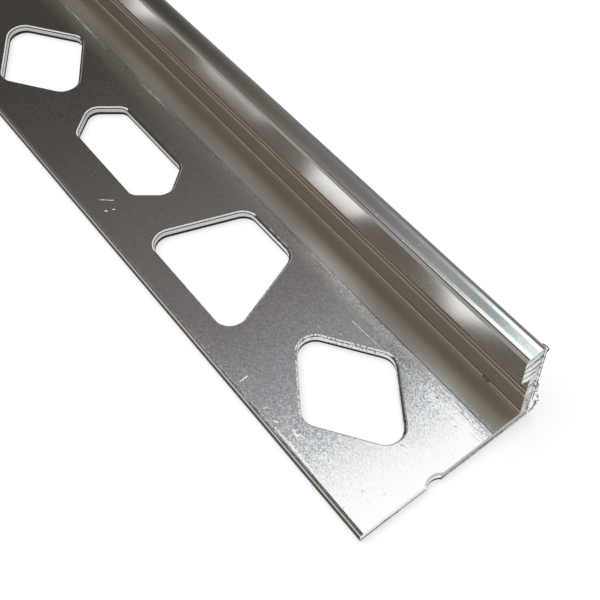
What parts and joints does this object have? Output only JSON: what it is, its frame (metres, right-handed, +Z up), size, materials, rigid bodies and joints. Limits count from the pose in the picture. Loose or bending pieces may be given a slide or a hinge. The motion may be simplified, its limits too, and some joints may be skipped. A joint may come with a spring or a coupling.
{
  "type": "perforated aluminium edge trim angle",
  "caption": "Thin perforated flat leg with a thick-headed upright leg, extruded in one piece: an edge trim angle for tiles, lying on its flat leg.",
  "frame": {"origin": "middle of the footprint, on the plane that the flat leg lies on", "axes": "+X along the length towards the saw-cut end of the picture, +Y across towards the upright leg's outer face, +Z up"},
  "size_m": [1, 0.022, 0.0125],
  "materials": {
    "mill_aluminium": "bright mill finish with fine die lines along the length and light handling scratches; saw-cut ends"
  },
  "bodies": {
    "root": {"perforated_angle": "mill_aluminium"}
  },
  "joints": []
}
